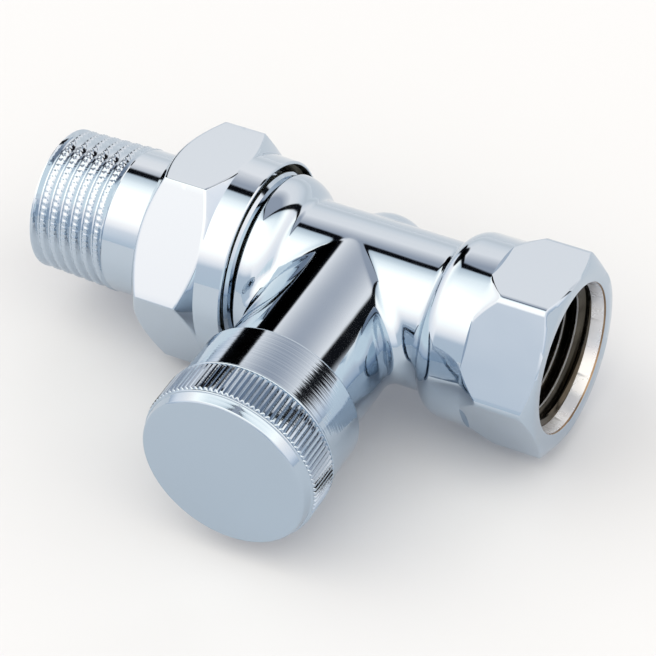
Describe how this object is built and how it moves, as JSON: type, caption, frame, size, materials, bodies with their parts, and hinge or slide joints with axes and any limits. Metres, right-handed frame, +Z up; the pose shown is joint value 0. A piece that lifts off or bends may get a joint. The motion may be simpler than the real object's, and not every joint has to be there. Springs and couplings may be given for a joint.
{
  "type": "manual radiator valve",
  "caption": "Straight manual radiator lockshield valve in chromed brass with a union tail, a female pipe port and a knurled cap over its spindle.",
  "frame": {"origin": "on the pipe axis at the first full turn of the thread in the female port", "axes": "+X along the pipe axis out of the female port, -Y along the spindle out of the cap, +Z up"},
  "size_m": [0.0811, 0.057, 0.0324],
  "materials": {
    "plated_body": "bright chrome plate on forged brass",
    "plated_nut": "bright chrome plate on brass",
    "plated_tail": "chrome plate on turned brass, nicked thread",
    "plated_cap": "chrome plate on turned and knurled brass",
    "brass_bonnet": "plain turned brass",
    "brass_spindle": "plain turned brass",
    "brass_holder": "plain turned brass",
    "spring_steel": "plain spring steel",
    "rubber": "black moulded rubber"
  },
  "bodies": {
    "body": {"valve_body": "plated_body", "bonnet": "brass_bonnet", "bonnet_o_ring": "rubber", "retaining_ring": "spring_steel"},
    "disc": {"disc_holder": "brass_holder", "disc_clip": "spring_steel", "seat_washer": "rubber", "washer_screw": "brass_holder"},
    "spindle": {"spindle": "brass_spindle", "spindle_o_ring_inner": "rubber", "spindle_o_ring_outer": "rubber"},
    "cap_ring": {"cap_seal": "rubber"},
    "cap": {"cap": "plated_cap"},
    "union_ring": {"tail_o_ring": "rubber"},
    "union_nut": {"union_nut": "plated_nut"},
    "tail": {"tailpiece": "plated_tail"}
  },
  "joints": [
    {"name": "disc_lift", "type": "slide", "parent": "body", "child": "disc", "axis": [0, -1, 0], "range_m": [-0.0035, 0]},
    {"name": "spindle_turn", "type": "hinge", "parent": "disc", "child": "spindle", "pos_m": [-0.03155, -0.02, 0], "axis": [0, -1, 0], "range_deg": [-1260, 0]},
    {"name": "cap_travel", "type": "slide", "parent": "body", "child": "cap_ring", "axis": [0, -1, 0], "range_m": [0, 0.0065]},
    {"name": "cap_turn", "type": "hinge", "parent": "cap_ring", "child": "cap", "pos_m": [-0.03155, -0.03, 0], "axis": [0, -1, 0], "range_deg": [0, 2340]},
    {"name": "union_travel", "type": "slide", "parent": "body", "child": "union_ring", "axis": [-1, 0, 0], "range_m": [0, 0.00798]},
    {"name": "union_nut_turn", "type": "hinge", "parent": "union_ring", "child": "union_nut", "pos_m": [-0.055, 0, 0], "axis": [-1, 0, 0], "range_deg": [0, 1584]},
    {"name": "tail_swivel", "type": "hinge", "parent": "union_ring", "child": "tail", "pos_m": [-0.06, 0, 0], "axis": [-1, 0, 0], "continuous": true}
  ],
  "couplings": [
    {"joint": "disc_lift", "follows": "spindle_turn", "m_per_rad": 0.00015915},
    {"joint": "cap_travel", "follows": "cap_turn", "m_per_rad": 0.00015915},
    {"joint": "union_travel", "follows": "union_nut_turn", "m_per_rad": 0.00028871}
  ]
}
